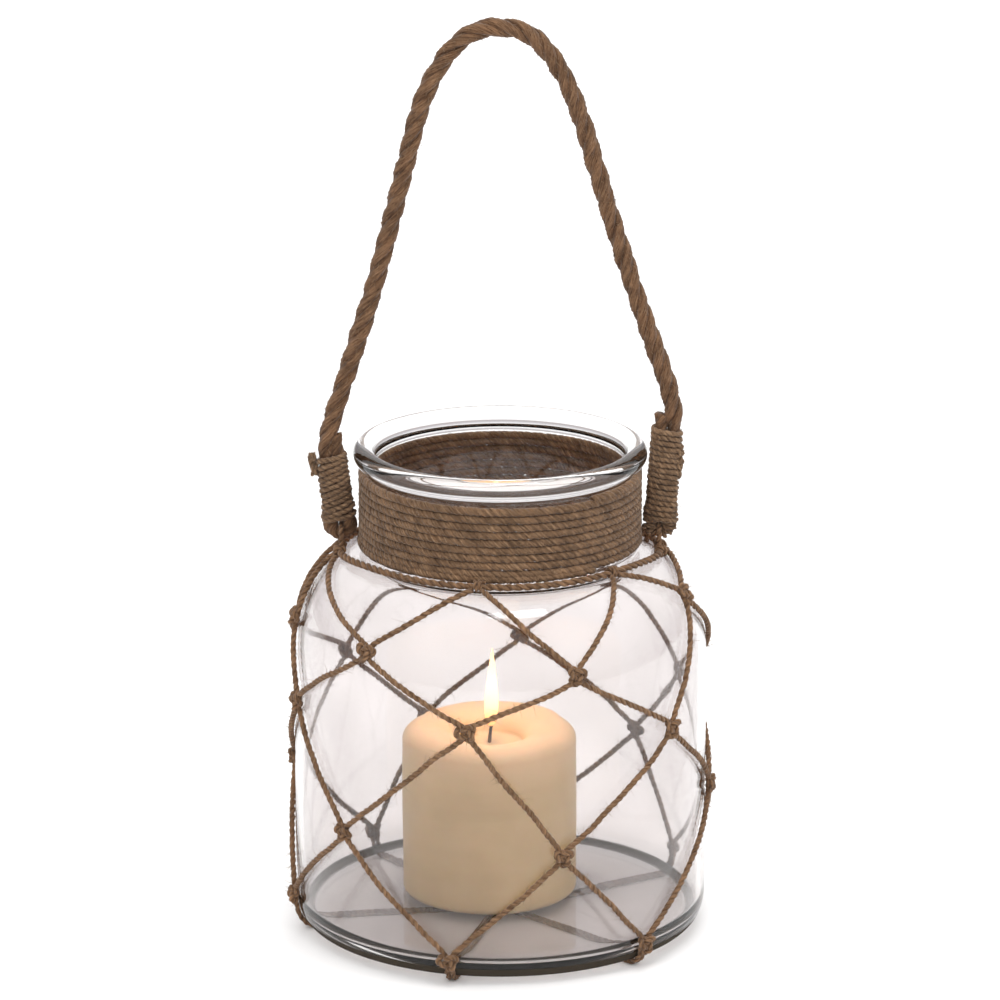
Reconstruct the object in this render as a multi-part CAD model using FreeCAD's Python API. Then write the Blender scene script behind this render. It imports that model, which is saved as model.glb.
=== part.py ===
import FreeCAD, Part

import math
import os

# Hanging lantern: a wide-mouth glass jar in a knotted jute net, with a cord-wound neck,
# a swinging rope handle and a pillar candle. Millimetres and degrees, +Z up.
# The origin is the middle of the underside, on the surface that the lantern stands on.
# Angles run round the jar from its front (-Y) towards +X.

# Glass jar, heights above its foot
BODY_R = 88.7
WALL = 3.3
JAR_HEIGHT = 211.3
BASE_THICKNESS = 6.0
HEEL_WIDTH = 7.0
HEEL_HEIGHT = 12.0
PUNT_R = 62.0
PUNT_DEPTH = 3.0
NECK_R = 57.0
NECK_ROOT_R = 2.0
SHOULDER_HEIGHT = 47.0
NECK_HEIGHT = 47.3
RIM_BEAD_R = 4.5

# Cord wound round the neck
WRAP_CORD_R = 1.77
WRAP_TURNS = 9
WRAP_RISE = 4.2

# Net
NET_CORD_R = 1.2
NET_STEP_TURN = 9.0
COLLAR_CORD_R = 1.6
COLLAR_OFFSET = 5.5
COLLAR_PULL = 5.3
KNOT_HALF = (3.3, 2.4, 4.3)
HITCH_HALF = (3.6, 2.6, 3.2)
HITCH_DROP = 1.0
HITCH_SPREAD = 1.8
BASE_KNOT_R = 8.0
BASE_KNOT_HEIGHT = 4.2
CORD_PRESS = 0.1

# Handle: a rope with both ends turned back round a net loop and lashed
ROPE_R = 3.9
EYE_ROPE_R = 2.0
EYE_BEND_R = 4.0
EYE_LEAN = 25.0
EYE_KNEE_R = 6.0
ROPE_SPREAD = 1.4
PIVOT_X = 67.8
PIVOT_ABOVE_SHOULDER = 7.0
LASHING_CORD_R = 1.2
LASHING_KNOT_HALF = (2.2, 2.2, 3.2)
LASHINGS = {
    "left": {"side": -1, "tilt": 7.0, "turns": 10, "tail": 1.0},
    "right": {"side": 1, "tilt": 4.0, "turns": 14, "tail": 6.0},
}
# Rope centre line above the lashings, (x, height over the pivot), from left to right
ROPE_ARCH = [
    (-71.6, 51.0),
    (-61.5, 81.0),
    (-49.6, 121.0),
    (-39.6, 163.0),
    (-31.5, 194.0),
    (-18.0, 215.5),
    (-1.0, 221.5),
    (16.5, 216.0),
    (30.5, 193.0),
    (40.5, 159.0),
    (53.5, 116.5),
    (65.5, 81.5),
    (73.2, 60.0),
]

# Pillar candle
CANDLE_R = 38.1
CANDLE_HEIGHT = 75.0
CANDLE_PLACE = (-4.7, 13.0)
CANDLE_EDGE_R = 2.5
DISH_RIM = 3.6
DISH_DEPTH = 8.5
POOL_R = 15.0
WICK_R = 0.9
WICK_RISE = 14.0
WICK_LEAN = 2.2
WICK_BEND = 0.45  # share of its rise at which the wick bends

# Clearances
TOUCH_GAP = 0.05
NET_GAP = 0.45
REST_GAP = 0.1
COLLAR_GAP = 0.35
HITCH_GAP = 0.6
BASE_GAP = 0.3
BORE_GAP = 0.05

# The net as tied: (angle, height above the glass foot) of each knot, and the collar hitches.
# The knots of one row are in order round the jar, and each list starts in the same column.
HITCH_ANGLES = [-88.5, -8.5, 49.0, 108.0, 170.0, 230.0]
KNOT_ROWS = {
    "upper": [(-40, 138.4), (21, 133.2), (73, 150.0), (148, 138.0), (206, 140.0), (276, 136.2)],
    "middle": [(-73, 104.2), (-9, 110.7), (53, 101.5), (115, 96.7), (174, 97.6), (231, 100.5)],
    "lower": [(-47, 57.2), (17, 55.0), (85, 60.9), (137, 60.8), (202, 60.0), (260, 66.0)],
    "foot": [(-79, 13.9), (-14, 9.0), (43, 9.0), (118, 14.0), (172, 10.0), (220, 12.0)],
}
COLUMNS = len(HITCH_ANGLES)
KNOT_GRIP = 0.6  # share of a knot's half height at which the cords enter it
COLLAR_STEPS = 24

# Cords under the foot
BASE_TURN_R = 3.0
BASE_CORD_END_R = BASE_KNOT_R - 1.5
BASE_CORD_SPREAD = 15.0  # degrees between the middle of a column and its first cord's end
BASE_KNOT_EDGE = 1.2

# Levels that follow from the sizes above
CORD_LEVEL = NET_CORD_R - CORD_PRESS
FOOT_Z = CORD_LEVEL + NET_CORD_R + TOUCH_GAP
NECK_TOP_Z = FOOT_Z + JAR_HEIGHT
RIM_Z = NECK_TOP_Z - RIM_BEAD_R
SHOULDER_TOP_Z = NECK_TOP_Z - NECK_HEIGHT
SHOULDER_Z = SHOULDER_TOP_Z - SHOULDER_HEIGHT
SHOULDER_TOP_R = NECK_R + NECK_ROOT_R
SHOULDER_WIDTH = BODY_R - SHOULDER_TOP_R
HEEL_Z = FOOT_Z + HEEL_HEIGHT
FLOOR_Z = FOOT_Z + BASE_THICKNESS
PIVOT_Z = SHOULDER_TOP_Z + PIVOT_ABOVE_SHOULDER

ARC_SHARE = 0.45  # share of a straight run that the arc at its end may use
PUNT_HALF_WAY = 0.75  # share of the punt's depth at half its radius
QUARTER = 0.5523  # handle length of a cubic curve that follows a quarter ellipse


def vec(x, y, z):
    return FreeCAD.Vector(x, y, z)


def around(radius, angle, z):
    """The point at that radius and height, at an angle from the front."""
    a = math.radians(angle)
    return vec(radius * math.sin(a), -radius * math.cos(a), z)


def export(name, solids):
    """Writes one node from its solids."""
    shape = solids[0] if len(solids) == 1 else Part.makeCompound(solids)
    shape.exportStep(os.path.join("parts", name + ".step"))
    volume = sum(s.Volume for s in solids)
    print(f"{name}: {len(solids)} solid(s), {volume / 1000:.2f} cm3, valid {shape.isValid()}")


# Curves and tubes


def line(a, b):
    return Part.LineSegment(a, b).toShape()


def arc(a, middle, b):
    return Part.Arc(a, middle, b).toShape()


def quarter(a, corner, b):
    """A quarter ellipse from a to b that is tangent to the lines through the corner."""
    curve = Part.BezierCurve()
    curve.setPoles([a, a + (corner - a) * QUARTER, b + (corner - b) * QUARTER, b])
    return curve.toShape()


def corner_arc(before, point, after, radius):
    """The start, middle and end of the arc that rounds one corner of a route."""
    back, ahead = (before - point).normalize(), (after - point).normalize()
    half_turn = (math.pi - back.getAngle(ahead)) / 2
    inward = (back + ahead).normalize()
    cut = radius * math.tan(half_turn)
    middle = point + inward * (radius / math.cos(half_turn) - radius)
    return point + back * cut, middle, point + ahead * cut


def natural_radius(before, point, after):
    """The largest arc that both runs allow."""
    back, ahead = before - point, after - point
    half_turn = (math.pi - back.getAngle(ahead)) / 2
    return ARC_SHARE * min(back.Length, ahead.Length) / math.tan(half_turn)


def route(points, radii=None, closed=False):
    """Straight runs joined by tangent arcs, as a wire, and the arcs' radii."""
    count = len(points)
    corners = range(count) if closed else range(1, count - 1)
    used, edges, last = [], [], None if closed else points[0]
    first = None
    for i in corners:
        before, point, after = points[i - 1], points[i], points[(i + 1) % count]
        radius = radii[i] if radii else natural_radius(before, point, after)
        used.append(radius)
        start, middle, end = corner_arc(before, point, after, radius)
        if last is not None and (start - last).Length > 1e-6:
            edges.append(line(last, start))
        if first is None:
            first = start
        edges.append(arc(start, middle, end))
        last = end
    finish = first if closed else points[-1]
    if (finish - last).Length > 1e-6:
        edges.append(line(last, finish))
    return Part.Wire(edges), used


def swept(wire, radius):
    """A round tube along a wire."""
    edge = wire.OrderedEdges[0]
    start = edge.valueAt(edge.FirstParameter)
    along = edge.tangentAt(edge.FirstParameter)
    profile = Part.Wire(Part.makeCircle(radius, start, along))
    return wire.makePipeShell([profile], True, False)


def ellipsoid(half, place, angle, lean=0.0):
    """A rounded knot: half its width, depth and height, turned to face out of its surface."""
    ball = Part.makeSphere(1.0)
    matrix = FreeCAD.Matrix()
    matrix.scale(vec(*half))
    solid = ball.transformGeometry(matrix)
    solid.rotate(vec(0, 0, 0), vec(1, 0, 0), -lean)
    solid.rotate(vec(0, 0, 0), vec(0, 0, 1), angle)
    solid.translate(place)
    return solid


# The jar's outside, which the net follows


def shoulder_turn(z):
    """How far round the shoulder's quarter ellipse a height is: 0 at the wall, 90 at the top."""
    return math.degrees(math.asin(min(1.0, max(0.0, (z - SHOULDER_Z) / SHOULDER_HEIGHT))))


def shoulder_turn_at(radius):
    """How far round the shoulder's quarter ellipse a radius is."""
    return math.degrees(math.acos((radius - SHOULDER_TOP_R) / SHOULDER_WIDTH))


def on_shoulder(angle, turn, off):
    """A point that far off the shoulder's surface, along its normal."""
    t = math.radians(turn)
    out, up = math.cos(t) / SHOULDER_WIDTH, math.sin(t) / SHOULDER_HEIGHT
    size = math.hypot(out, up)
    radius = SHOULDER_TOP_R + SHOULDER_WIDTH * math.cos(t) + off * out / size
    return around(radius, angle, SHOULDER_Z + SHOULDER_HEIGHT * math.sin(t) + off * up / size)


def on_glass(angle, z, off):
    """A point that far off the glass at a height, on the shoulder, the wall or the heel."""
    if z >= SHOULDER_Z:
        return on_shoulder(angle, shoulder_turn(z), off)
    if z >= HEEL_Z:
        return around(BODY_R + off, angle, z)
    down = math.asin((HEEL_Z - z) / HEEL_HEIGHT)
    out, low = math.cos(down) / HEEL_WIDTH, math.sin(down) / HEEL_HEIGHT
    size = math.hypot(out, low)
    radius = BODY_R - HEEL_WIDTH + HEEL_WIDTH * math.cos(down) + off * out / size
    return around(radius, angle, z - off * low / size)


def surface_lean(angle, z):
    """How far the glass's normal points up at a height, in degrees."""
    step = on_glass(angle, z, 1.0) - on_glass(angle, z, 0.0)
    return math.degrees(math.asin(step.z))


# Pieces


def glass_jar():
    """One revolved wall: punt, foot, heel, wall, shoulder, neck and rolled rim."""
    bore = NECK_R - WALL
    bead_x = bore + RIM_BEAD_R
    bead_foot = RIM_Z - math.sqrt(RIM_BEAD_R**2 - (NECK_R - bead_x) ** 2)
    root_x, root_z = SHOULDER_TOP_R, SHOULDER_TOP_Z + NECK_ROOT_R
    diagonal = math.sqrt(0.5)
    inner_r = NECK_ROOT_R + WALL

    def p(x, z):
        return vec(x, 0, z)

    foot_r = BODY_R - HEEL_WIDTH
    punt_top = FOOT_Z + PUNT_DEPTH
    outside = [
        arc(p(0, punt_top), p(PUNT_R / 2, FOOT_Z + PUNT_DEPTH * PUNT_HALF_WAY), p(PUNT_R, FOOT_Z)),
        line(p(PUNT_R, FOOT_Z), p(foot_r, FOOT_Z)),
        quarter(p(foot_r, FOOT_Z), p(BODY_R, FOOT_Z), p(BODY_R, HEEL_Z)),
        line(p(BODY_R, HEEL_Z), p(BODY_R, SHOULDER_Z)),
        quarter(p(BODY_R, SHOULDER_Z), p(BODY_R, SHOULDER_TOP_Z), p(root_x, SHOULDER_TOP_Z)),
        arc(
            p(root_x, SHOULDER_TOP_Z),
            p(root_x - NECK_ROOT_R * diagonal, root_z - NECK_ROOT_R * diagonal),
            p(NECK_R, root_z),
        ),
        line(p(NECK_R, root_z), p(NECK_R, bead_foot)),
        arc(p(NECK_R, bead_foot), p(bead_x + RIM_BEAD_R, RIM_Z), p(bead_x, NECK_TOP_Z)),
        arc(
            p(bead_x, NECK_TOP_Z),
            p(bead_x - RIM_BEAD_R * diagonal, RIM_Z + RIM_BEAD_R * diagonal),
            p(bore, RIM_Z),
        ),
    ]
    inner_body = BODY_R - WALL
    floor_corner = inner_body - HEEL_WIDTH
    inside = [
        line(p(bore, RIM_Z), p(bore, root_z)),
        arc(
            p(bore, root_z),
            p(root_x - inner_r * diagonal, root_z - inner_r * diagonal),
            p(root_x, SHOULDER_TOP_Z - WALL),
        ),
        quarter(
            p(root_x, SHOULDER_TOP_Z - WALL),
            p(inner_body, SHOULDER_TOP_Z - WALL),
            p(inner_body, SHOULDER_Z),
        ),
        line(p(inner_body, SHOULDER_Z), p(inner_body, FLOOR_Z + HEEL_WIDTH)),
        quarter(
            p(inner_body, FLOOR_Z + HEEL_WIDTH), p(inner_body, FLOOR_Z), p(floor_corner, FLOOR_Z)
        ),
        line(p(floor_corner, FLOOR_Z), p(0, FLOOR_Z)),
        line(p(0, FLOOR_Z), p(0, punt_top)),
    ]
    face = Part.Face(Part.Wire(outside + inside))
    return face.revolve(vec(0, 0, 0), vec(0, 0, 1), 360)


def neck_wrap():
    """The turns of cord wound round the neck, stacked under the rim's bead."""
    pitch = 2 * WRAP_CORD_R + TOUCH_GAP
    ring_r = NECK_R + TOUCH_GAP + WRAP_CORD_R
    lowest = SHOULDER_TOP_Z + WRAP_RISE + WRAP_CORD_R
    return [
        Part.makeTorus(ring_r, WRAP_CORD_R, vec(0, 0, lowest + i * pitch), vec(0, 0, 1))
        for i in range(WRAP_TURNS)
    ]


def collar_radius(angle):
    """The collar's oval, which the handle pulls out at its sides."""
    return NECK_R + COLLAR_OFFSET + COLLAR_PULL * math.sin(math.radians(angle)) ** 4


def collar_point(angle, off):
    """A point on the collar's oval, over the shoulder."""
    return on_shoulder(angle, shoulder_turn_at(collar_radius(angle)), off)


def collar_cord():
    """The closed cord round the foot of the neck that carries the net and the handle."""
    off = COLLAR_CORD_R + COLLAR_GAP
    points = [collar_point(360 * i / COLLAR_STEPS, off) for i in range(COLLAR_STEPS)]
    wire, _ = route(points, closed=True)
    return swept(wire, COLLAR_CORD_R)


def collar_loop(side):
    """The hoop of net cord that stands on the collar and passes through the rope's eye."""
    hoop_r = EYE_BEND_R
    foot_z = collar_point(90 * side, COLLAR_CORD_R).z
    x = side * PIVOT_X
    start, end = vec(x, -hoop_r, foot_z), vec(x, hoop_r, foot_z)
    left, right = vec(x, -hoop_r, PIVOT_Z), vec(x, hoop_r, PIVOT_Z)
    top = vec(x, 0, PIVOT_Z + hoop_r)
    wire = Part.Wire([line(start, left), arc(left, top, right), line(right, end)])
    return swept(wire, NET_CORD_R)


def knot_place(row, index):
    angle, height = KNOT_ROWS[row][index % COLUMNS]
    return angle + 360 * (index // COLUMNS), FOOT_Z + height


def through_knot(row, index, side):
    """Where one cord enters and leaves a knot, beside the other cord of that knot."""
    angle, z = knot_place(row, index)
    off = NET_CORD_R + TOUCH_GAP + NET_GAP / 2
    beside = side * math.degrees((NET_CORD_R + TOUCH_GAP) / BODY_R)
    half = KNOT_GRIP * KNOT_HALF[2]
    return (angle + beside, z + half, off), (angle + beside, z - half, off)


def span_points(start, end, off, place, rise):
    """Points between two ends of a span, close enough together for the runs to clear the glass."""
    runs = max(2, math.ceil(max(abs(end[0] - start[0]), rise) / NET_STEP_TURN))
    shares = [i / runs for i in range(1, runs)]
    return [
        place(start[0] + (end[0] - start[0]) * s, start[1] + (end[1] - start[1]) * s, off)
        for s in shares
    ]


def net_cord_points(column, side):
    """One net cord from its collar hitch to its foot knot. side -1 is a column's left cord."""
    shift = (side + 1) // 2
    passed = [("upper", column, side), ("middle", column + shift, -side)]
    passed += [("lower", column, side), ("foot", column + shift, -side)]
    off = NET_CORD_R + TOUCH_GAP + NET_GAP
    hitch = HITCH_ANGLES[(column + shift) % COLUMNS] + 360 * ((column + shift) // COLUMNS)
    start = (hitch - side * HITCH_SPREAD, shoulder_turn_at(collar_radius(hitch) + HITCH_DROP))
    enter, leave = through_knot(*passed[0])
    first = (enter[0], shoulder_turn(enter[1]))
    points = [on_shoulder(*start, off)]
    points += span_points(start, first, off, on_shoulder, start[1] - first[1])
    for knot in passed[1:]:
        points += [on_glass(*enter), on_glass(*leave)]
        enter, after = through_knot(*knot)
        rise = shoulder_turn(leave[1]) - shoulder_turn(enter[1])
        points += span_points(leave, enter, off, on_glass, rise)
        leave = after
    return points + [on_glass(*enter), on_glass(*leave)]


def net_cord(column, side):
    wire, radii = route(net_cord_points(column, side))
    return swept(wire, NET_CORD_R), min(radii)


def knots(row):
    """The overhand knots of one row, each round two cords."""
    made = []
    for i in range(COLUMNS):
        angle, z = knot_place(row, i)
        place = on_glass(angle, z, KNOT_HALF[1] + TOUCH_GAP)
        made.append(ellipsoid(KNOT_HALF, place, angle, surface_lean(angle, z)))
    return made


def collar_hitches():
    """The hitches that hang each pair of net cords on the collar."""
    made = []
    for angle in HITCH_ANGLES:
        place = collar_point(angle, HITCH_HALF[1] + TOUCH_GAP + HITCH_GAP)
        made.append(ellipsoid(HITCH_HALF, place, angle))
    return made


def above_surface(solid):
    """The solid without what would press below the surface that the lantern stands on."""
    size = 4 * BODY_R
    slab = Part.makeBox(size, size, size, vec(-size / 2, -size / 2, -size))
    return solid.cut(slab).Solids[0]


def base_cords():
    """The cords that run from the foot knots under the glass to the middle."""
    made = []
    for i in range(COLUMNS):
        angle, z = knot_place("foot", i)
        for side in (-1, 1):
            beside = side * math.degrees((NET_CORD_R + TOUCH_GAP) / BODY_R)
            inner = 360 / COLUMNS * (i - 1) + (side - 1) * BASE_CORD_SPREAD
            top = on_glass(angle + beside, z - KNOT_HALF[2] / 2, NET_CORD_R + TOUCH_GAP + BASE_GAP)
            turn = around(BODY_R + NET_CORD_R, angle + 2 * beside, CORD_LEVEL)
            end = around(BASE_CORD_END_R, inner, CORD_LEVEL)
            wire, _ = route([top, turn, end], [0, BASE_TURN_R, 0])
            made.append(above_surface(swept(wire, NET_CORD_R)))
    return made


def base_knot():
    """The low knot in the punt where the base cords meet."""
    edge = BASE_KNOT_EDGE
    profile = [
        line(vec(0, 0, 0), vec(BASE_KNOT_R - edge, 0, 0)),
        arc(
            vec(BASE_KNOT_R - edge, 0, 0),
            vec(BASE_KNOT_R, 0, edge),
            vec(BASE_KNOT_R - edge, 0, 2 * edge),
        ),
        line(vec(BASE_KNOT_R - edge, 0, 2 * edge), vec(0, 0, BASE_KNOT_HEIGHT)),
        line(vec(0, 0, BASE_KNOT_HEIGHT), vec(0, 0, 0)),
    ]
    return Part.Face(Part.Wire(profile)).revolve(vec(0, 0, 0), vec(0, 0, 1), 360)


# Handle. In a lashing's own frame u points outwards and w up along the doubled rope.

LEG_U = EYE_ROPE_R + TOUCH_GAP
EYE_EDGE_U = EYE_BEND_R * math.cos(math.radians(EYE_LEAN))
EYE_EDGE_W = EYE_BEND_R * (1 + math.sin(math.radians(EYE_LEAN)))
EYE_NECK_W = EYE_EDGE_W + (EYE_EDGE_U - LEG_U) / math.tan(math.radians(EYE_LEAN))
LASHING_START = EYE_NECK_W + EYE_KNEE_R * math.tan(math.radians(EYE_LEAN / 2)) + LASHING_CORD_R
LASHING_PITCH = 2 * LASHING_CORD_R + TOUCH_GAP


def lashing_point(name, u, w, y=0.0):
    lashing = LASHINGS[name]
    tilt = math.radians(lashing["tilt"])
    x = PIVOT_X + u * math.cos(tilt) + w * math.sin(tilt)
    return vec(lashing["side"] * x, y, PIVOT_Z - u * math.sin(tilt) + w * math.cos(tilt))


def lashing_top(name):
    return LASHING_START + (LASHINGS[name]["turns"] - 1) * LASHING_PITCH + LASHING_CORD_R


def eye_route(name):
    """The turned-back end: down the outer leg, round the eye and up the inner leg."""
    whole_turn = 180 + 2 * EYE_LEAN
    reach = EYE_BEND_R / math.cos(math.radians(whole_turn / 6))
    turns = [math.radians(whole_turn / 3 * i) for i in (1, 0, -1)]
    bend = [(reach * math.sin(t), EYE_BEND_R - reach * math.cos(t)) for t in turns]
    top = lashing_top(name)
    flat = [(LEG_U, top + ROPE_SPREAD), (LEG_U, EYE_NECK_W), *bend]
    flat += [(-LEG_U, EYE_NECK_W), (-LEG_U, top + LASHINGS[name]["tail"])]
    radii = [0, EYE_KNEE_R, EYE_BEND_R, EYE_BEND_R, EYE_BEND_R, EYE_KNEE_R, 0]
    return route([lashing_point(name, u, w) for u, w in flat], radii)[0]


def handle_rope():
    """One rope: the arch, and at each end an eye and the turned-back tail."""
    ends = {}
    for name in LASHINGS:
        ends[name] = [lashing_point(name, LEG_U, lashing_top(name) + ROPE_SPREAD)]
    middle = [vec(x, 0, PIVOT_Z + h) for x, h in ROPE_ARCH]
    points = ends["left"] + middle + ends["right"]
    wire, radii = route(points)
    rope = swept(wire, ROPE_R)
    print(f"handle rope: arc radii {[round(r) for r in radii]}")
    print(f"handle rope: centre line {wire.Length:.1f} mm")
    ratio = rope.Volume / (math.pi * ROPE_R**2 * wire.Length)
    print(f"handle rope: volume over section times length {ratio:.4f}")
    for name in LASHINGS:
        rope = rope.fuse(swept(eye_route(name), EYE_ROPE_R))
    return rope.removeSplitter().Solids[0]


def lashing_turn(name, w):
    """One turn of twine round both legs of the rope."""
    bend = EYE_ROPE_R + TOUCH_GAP + LASHING_CORD_R
    u = LEG_U
    corners = [lashing_point(name, s * u, w, t * bend) for s, t in ((-1, -1), (1, -1), (1, 1), (-1, 1))]
    out = lashing_point(name, u + bend, w)
    back = lashing_point(name, -u - bend, w)
    wire = Part.Wire(
        [
            line(corners[0], corners[1]),
            arc(corners[1], out, corners[2]),
            line(corners[2], corners[3]),
            arc(corners[3], back, corners[0]),
        ]
    )
    return swept(wire, LASHING_CORD_R)


def lashing(name):
    """The twine turns that bind the rope's tail to its standing part."""
    turns = LASHINGS[name]["turns"]
    return [lashing_turn(name, LASHING_START + i * LASHING_PITCH) for i in range(turns)]


def lashing_knot(name):
    """The twine's finishing knot on the outer side, near the top of the lashing."""
    half = LASHING_KNOT_HALF
    u = LEG_U + EYE_ROPE_R + 2 * TOUCH_GAP + 2 * LASHING_CORD_R + half[0]
    place = lashing_point(name, u, lashing_top(name) - half[2] - LASHING_CORD_R)
    return ellipsoid(half, place, 0)


# Candle


def candle_wax():
    """The pillar with its melted dish and the bore that the wick runs in."""
    base = FLOOR_Z + REST_GAP
    top = base + CANDLE_HEIGHT
    low = top - DISH_DEPTH
    e = CANDLE_EDGE_R
    inner = CANDLE_R - DISH_RIM
    bore = WICK_R + BORE_GAP
    k = e * (1 - math.sqrt(0.5))

    def p(x, z):
        return vec(x, 0, z)

    profile = [
        line(p(bore, base), p(CANDLE_R - e, base)),
        arc(p(CANDLE_R - e, base), p(CANDLE_R - k, base + k), p(CANDLE_R, base + e)),
        line(p(CANDLE_R, base + e), p(CANDLE_R, top - e)),
        arc(p(CANDLE_R, top - e), p(CANDLE_R - k, top - k), p(CANDLE_R - e, top)),
        line(p(CANDLE_R - e, top), p(inner, top)),
        quarter(p(inner, top), p((inner + POOL_R) / 2, low), p(POOL_R, low)),
        line(p(POOL_R, low), p(bore, low)),
        line(p(bore, low), p(bore, base)),
    ]
    wax = Part.Face(Part.Wire(profile)).revolve(vec(0, 0, 0), vec(0, 0, 1), 360)
    wax.translate(vec(*CANDLE_PLACE, 0))
    return wax


def candle_wick():
    """The wick from the candle's underside to its bent tip over the pool."""
    x, y = CANDLE_PLACE
    base = FLOOR_Z + REST_GAP
    pool = base + CANDLE_HEIGHT - DISH_DEPTH
    points = [vec(x, y, base), vec(x, y, pool + WICK_BEND * WICK_RISE)]
    points.append(vec(x + WICK_LEAN, y, pool + WICK_RISE))
    wire, _ = route(points)
    return swept(wire, WICK_R)


def main():
    os.makedirs("parts", exist_ok=True)
    export("glass_jar", [glass_jar()])
    export("neck_wrap", neck_wrap())
    export("collar_cord", [collar_cord()])
    for name, lashing_data in LASHINGS.items():
        export(f"collar_loop_{name}", [collar_loop(lashing_data["side"])])
    export("collar_hitches", collar_hitches())
    for column in range(COLUMNS):
        for side in (-1, 1):
            cord, tightest = net_cord(column, side)
            number = 2 * column + (side + 3) // 2
            print(f"net cord {number}: tightest arc {tightest:.1f} mm")
            export(f"net_cord_{number:02d}", [cord])
    for row in KNOT_ROWS:
        export(f"net_knots_{row}", knots(row))
    export("base_cords", base_cords())
    export("base_knot", [base_knot()])
    export("handle_rope", [handle_rope()])
    for name in LASHINGS:
        export(f"lashing_{name}", lashing(name))
        export(f"lashing_knot_{name}", [lashing_knot(name)])
    export("candle_wax", [candle_wax()])
    export("candle_wick", [candle_wick()])


main()
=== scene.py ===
import math

import bpy
import numpy as np
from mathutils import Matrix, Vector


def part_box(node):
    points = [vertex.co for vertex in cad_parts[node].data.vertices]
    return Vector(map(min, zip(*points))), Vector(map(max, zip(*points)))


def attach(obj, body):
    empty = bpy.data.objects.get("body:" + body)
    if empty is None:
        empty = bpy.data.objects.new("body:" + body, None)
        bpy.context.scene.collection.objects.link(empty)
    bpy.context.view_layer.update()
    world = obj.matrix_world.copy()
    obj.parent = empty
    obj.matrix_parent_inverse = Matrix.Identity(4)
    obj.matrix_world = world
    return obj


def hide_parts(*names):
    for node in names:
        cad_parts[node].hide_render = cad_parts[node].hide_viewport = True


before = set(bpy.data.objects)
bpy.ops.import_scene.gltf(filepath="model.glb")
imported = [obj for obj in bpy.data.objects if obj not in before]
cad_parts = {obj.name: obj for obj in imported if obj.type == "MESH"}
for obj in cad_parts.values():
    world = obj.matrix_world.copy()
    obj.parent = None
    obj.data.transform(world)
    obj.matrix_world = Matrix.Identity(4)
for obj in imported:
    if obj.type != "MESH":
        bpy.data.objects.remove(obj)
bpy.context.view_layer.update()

mm = 0.001
tau = 2 * math.pi
front = np.array([0.0, -1.0, 0.0])
print("frame loaded:", len(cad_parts), "nodes")


def unit(v):
    return v / np.maximum(np.linalg.norm(v, axis=-1, keepdims=True), 1e-12)


def spots(*parts):
    # points from their coordinates, each an array or one number
    return np.stack(np.broadcast_arrays(*parts), axis=-1)


def lengthAlong(points):
    # running length: the sum of the distances between neighbours
    steps = np.linalg.norm(np.diff(points, axis=0), axis=1)
    return np.concatenate([[0], np.cumsum(steps)])


def resample(points, step, *others):
    # evenly spaced points on the same line, and what else is kept per point
    s = lengthAlong(points)
    t = np.linspace(0, s[-1], max(4, int(s[-1] / step) + 1))
    pick = lambda a: np.stack([np.interp(t, s, a[:, i]) for i in range(a.shape[1])], axis=1)
    return [pick(points)] + [pick(a) for a in others]


def smooth(value, low, high):
    # 0 below low and 1 above high, with level ends: 3 t^2 - 2 t^3
    t = np.clip((value - low) / (high - low), 0, 1)
    return t * t * (3 - 2 * t)


def drift(s, seed, size, wave):
    # slow unevenness: three sines of different wavelength and phase
    rng = np.random.default_rng(seed)
    phase, pace = rng.uniform(0, tau, 3), np.array([1.0, 1.73, 2.9]) * rng.uniform(0.85, 1.15, 3)
    weight = np.array([0.6, 0.3, 0.15])
    return size * (weight * np.sin(tau * np.outer(s, pace) / wave + phase)).sum(axis=1)


def gridQuads(rows, columns, loopRows=False):
    # the four corners of each cell of a grid whose columns close into a ring, as its rows may too
    r, c = np.meshgrid(np.arange(rows if loopRows else rows - 1), np.arange(columns), indexing="ij")
    r, c = r.ravel(), c.ravel()
    cornerRow, cornerColumn = spots(r, r, r + 1, r + 1), spots(c, c + 1, c + 1, c)
    quads = (cornerRow % rows) * columns + cornerColumn % columns
    return quads, cornerRow, cornerColumn


def gridPart(points, loopRows=False, u=None, paintedGrooveShade=None):
    # a surface from a grid of points: rows run along it, columns run round it
    rows, columns = points.shape[:2]
    quads, cornerRow, cornerColumn = gridQuads(rows, columns, loopRows)
    if u is None:
        u = np.linspace(0, 1, rows)
    u = np.append(u, 2 * u[-1] - u[-2])
    uv = spots(u[cornerRow], cornerColumn / columns)
    flat = points.reshape(-1, 3)
    paintedGrooveShade = np.zeros(len(flat)) if paintedGrooveShade is None else paintedGrooveShade.ravel()
    tris = np.zeros((0, 3), int)
    if not loopRows:
        last = len(flat)
        flat = np.vstack([flat, points[0].mean(axis=0), points[-1].mean(axis=0)])
        paintedGrooveShade = np.append(paintedGrooveShade, [0.5, 0.5])
        ring = np.arange(columns)
        after, far = (ring + 1) % columns, (rows - 1) * columns
        tris = np.vstack([spots(last, after, ring), spots(last + 1, far + ring, far + after)])
    return {"points": flat, "quads": quads, "tris": tris, "uv": uv.reshape(-1, 2), "paintedGrooveShade": paintedGrooveShade}


def addObject(name, data):
    thing = bpy.data.objects.new(name, data)
    bpy.context.scene.collection.objects.link(thing)
    return thing


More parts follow.
